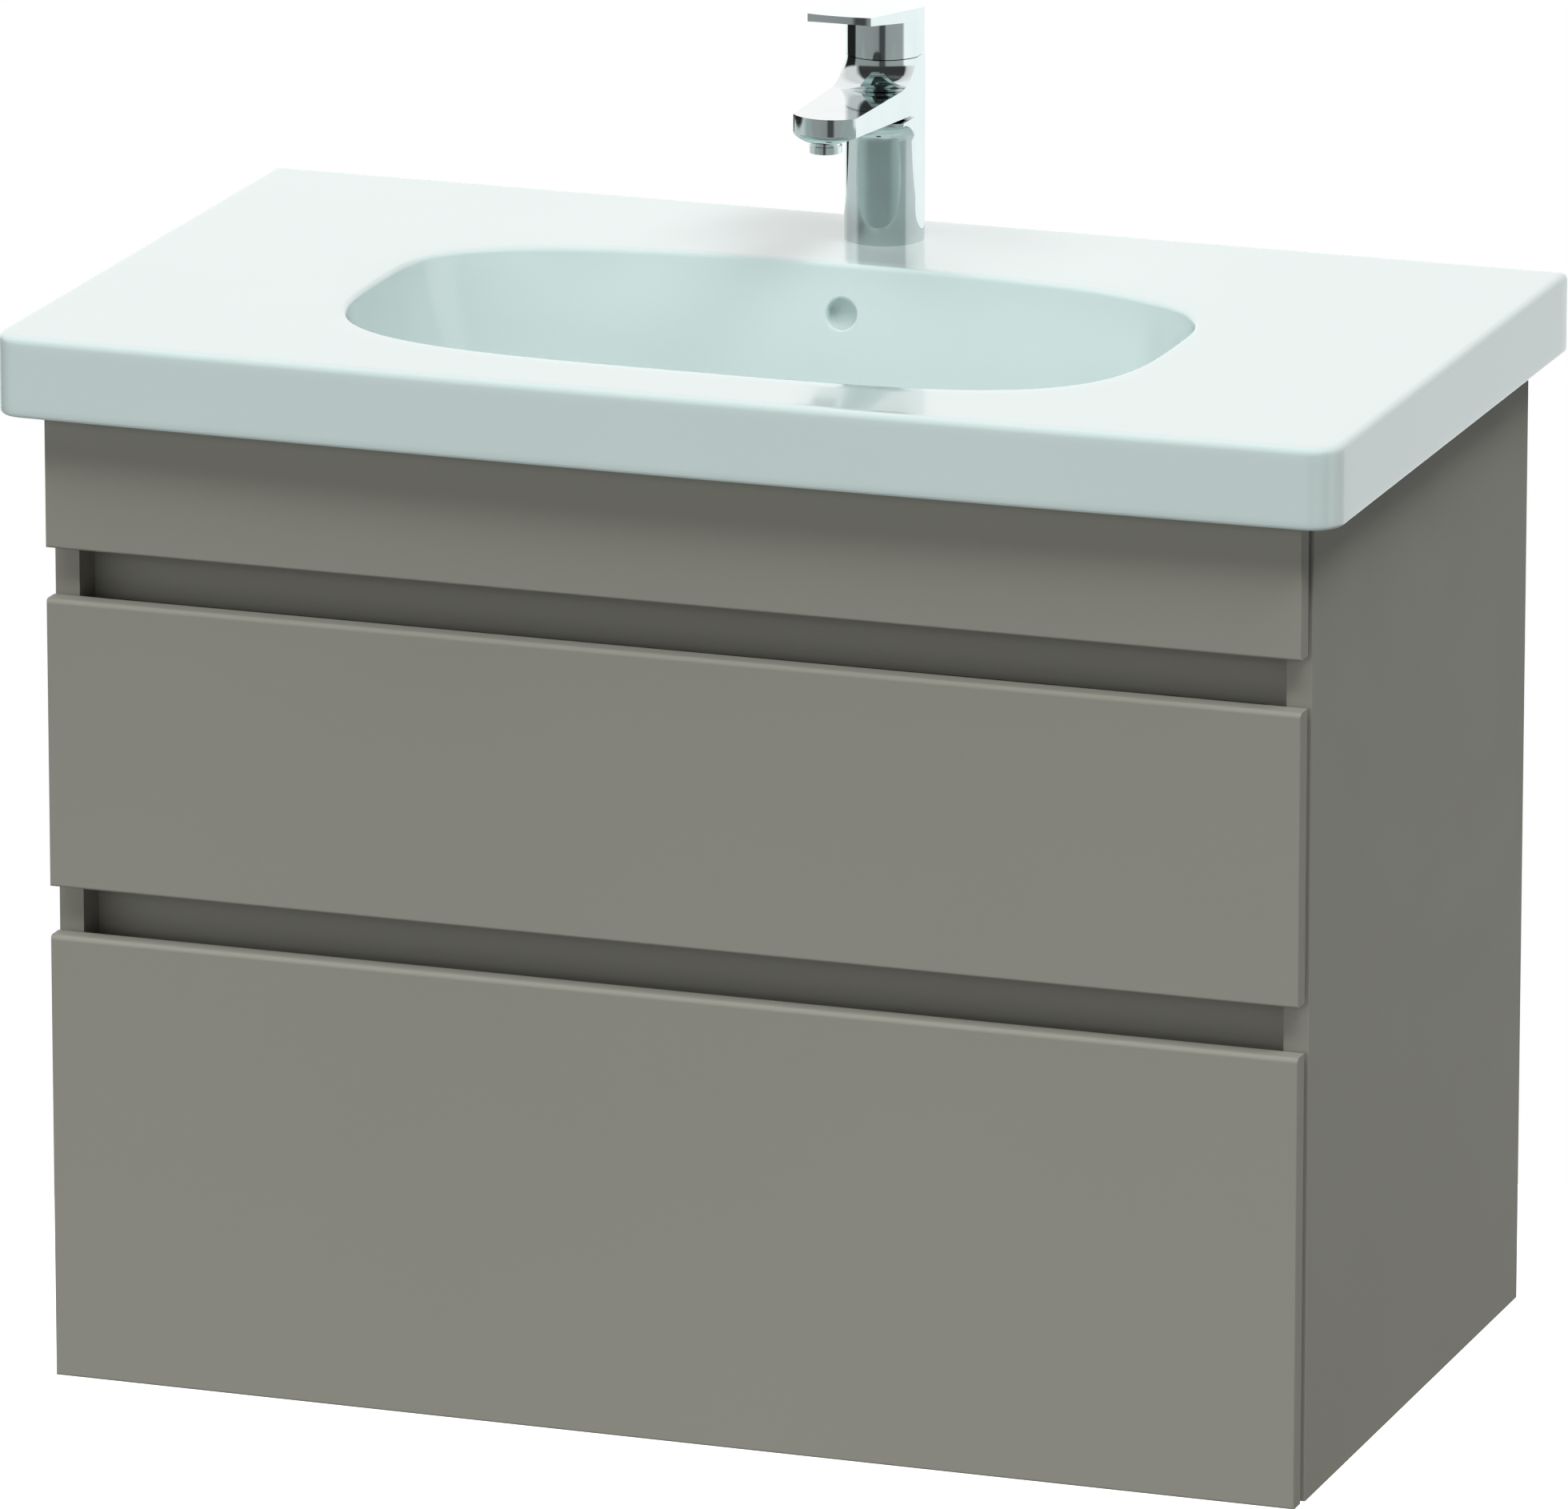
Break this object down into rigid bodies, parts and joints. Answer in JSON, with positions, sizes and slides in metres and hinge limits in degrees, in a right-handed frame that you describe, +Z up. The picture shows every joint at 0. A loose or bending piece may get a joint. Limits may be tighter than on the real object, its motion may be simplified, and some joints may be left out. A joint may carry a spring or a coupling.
{
  "type": "bathroom vanity unit",
  "caption": "Wall-hung bathroom vanity with drawers under a wide ceramic washbasin, single-lever tap, push-open waste and bottle trap.",
  "frame": {"origin": "on the wall plane, on the centre line, level with the underside of the carcass", "axes": "+X to the user's right, +Y into the wall, +Z up; the fronts face -Y"},
  "size_m": [0.85, 0.5199, 0.8185],
  "materials": {
    "lacquer": "matte",
    "drawer_board": "matte",
    "beech": "matte",
    "clear_rubber": "satin",
    "dark_plastic": "matte",
    "glazed_ceramic": "gloss",
    "black_rubber": "matte",
    "brass": "satin",
    "copper": "satin",
    "chrome": "polished",
    "steel": "satin"
  },
  "bodies": {
    "cabinet": {"side_panel_left": "lacquer", "side_panel_right": "lacquer", "bottom_panel": "lacquer", "back_rail_upper": "lacquer", "back_rail_lower": "lacquer", "grip_rail_upper": "lacquer", "grip_rail_middle": "lacquer", "apron_panel": "lacquer", "apron_brackets": "steel", "hanger_left": "steel", "hanger_right": "steel", "wall_plates": "steel", "carcass_dowels": "beech", "cam_locks": "steel", "upper_runner_fixed_left": "steel", "upper_runner_fixed_right": "steel", "lower_runner_fixed_left": "steel", "lower_runner_fixed_right": "steel", "runner_dampers": "dark_plastic", "washbasin": "glazed_ceramic", "tap_body": "chrome", "tap_aerator": "chrome", "tap_cartridge": "dark_plastic", "tap_cartridge_nut": "brass", "tap_stud": "steel", "tap_clamp_washer": "steel", "tap_stud_nut": "steel", "tap_inlets": "copper", "waste_body": "chrome", "waste_seals": "black_rubber", "waste_nut": "chrome", "trap_tube": "chrome", "trap_cup": "chrome", "trap_nuts": "chrome", "trap_outlet": "chrome"},
    "upper_drawer": {"upper_front": "lacquer", "upper_side_left": "drawer_board", "upper_side_right": "drawer_board", "upper_base": "drawer_board", "upper_back_boards": "drawer_board", "upper_trap_walls": "drawer_board", "upper_runner_drawer_left": "steel", "upper_runner_drawer_right": "steel", "upper_bumpers": "clear_rubber"},
    "upper_runner_middles": {"upper_runner_middle_left": "steel", "upper_runner_middle_right": "steel"},
    "lower_drawer": {"lower_front": "lacquer", "lower_side_left": "drawer_board", "lower_side_right": "drawer_board", "lower_base": "drawer_board", "lower_back": "drawer_board", "lower_runner_drawer_left": "steel", "lower_runner_drawer_right": "steel", "lower_bumpers": "clear_rubber"},
    "lower_runner_middles": {"lower_runner_middle_left": "steel", "lower_runner_middle_right": "steel"},
    "tap_rotor_set": {"tap_rotor": "dark_plastic", "tap_lever_pin": "steel"},
    "tap_lever_set": {"tap_lever": "chrome"},
    "waste_plug_set": {"waste_plug": "chrome"}
  },
  "joints": [
    {"name": "upper_drawer_slide", "type": "slide", "parent": "cabinet", "child": "upper_drawer", "axis": [0, -1, 0], "range_m": [0, 0.38]},
    {"name": "upper_runner_slide", "type": "slide", "parent": "cabinet", "child": "upper_runner_middles", "axis": [0, -1, 0], "range_m": [0, 0.19]},
    {"name": "lower_drawer_slide", "type": "slide", "parent": "cabinet", "child": "lower_drawer", "axis": [0, -1, 0], "range_m": [0, 0.38]},
    {"name": "lower_runner_slide", "type": "slide", "parent": "cabinet", "child": "lower_runner_middles", "axis": [0, -1, 0], "range_m": [0, 0.19]},
    {"name": "tap_swivel", "type": "hinge", "parent": "cabinet", "child": "tap_rotor_set", "pos_m": [0, -0.054, 0.778], "axis": [0, 0, 1], "range_deg": [-45, 45]},
    {"name": "tap_tilt", "type": "hinge", "parent": "tap_rotor_set", "child": "tap_lever_set", "pos_m": [0, -0.048, 0.788], "axis": [-1, 0, 0], "range_deg": [0, 18]},
    {"name": "waste_plug_slide", "type": "slide", "parent": "cabinet", "child": "waste_plug_set", "axis": [0, 0, 1], "range_m": [0, 0.008]}
  ],
  "couplings": [
    {"joint": "upper_runner_slide", "follows": "upper_drawer_slide", "ratio": 0.5},
    {"joint": "lower_runner_slide", "follows": "lower_drawer_slide", "ratio": 0.5}
  ]
}
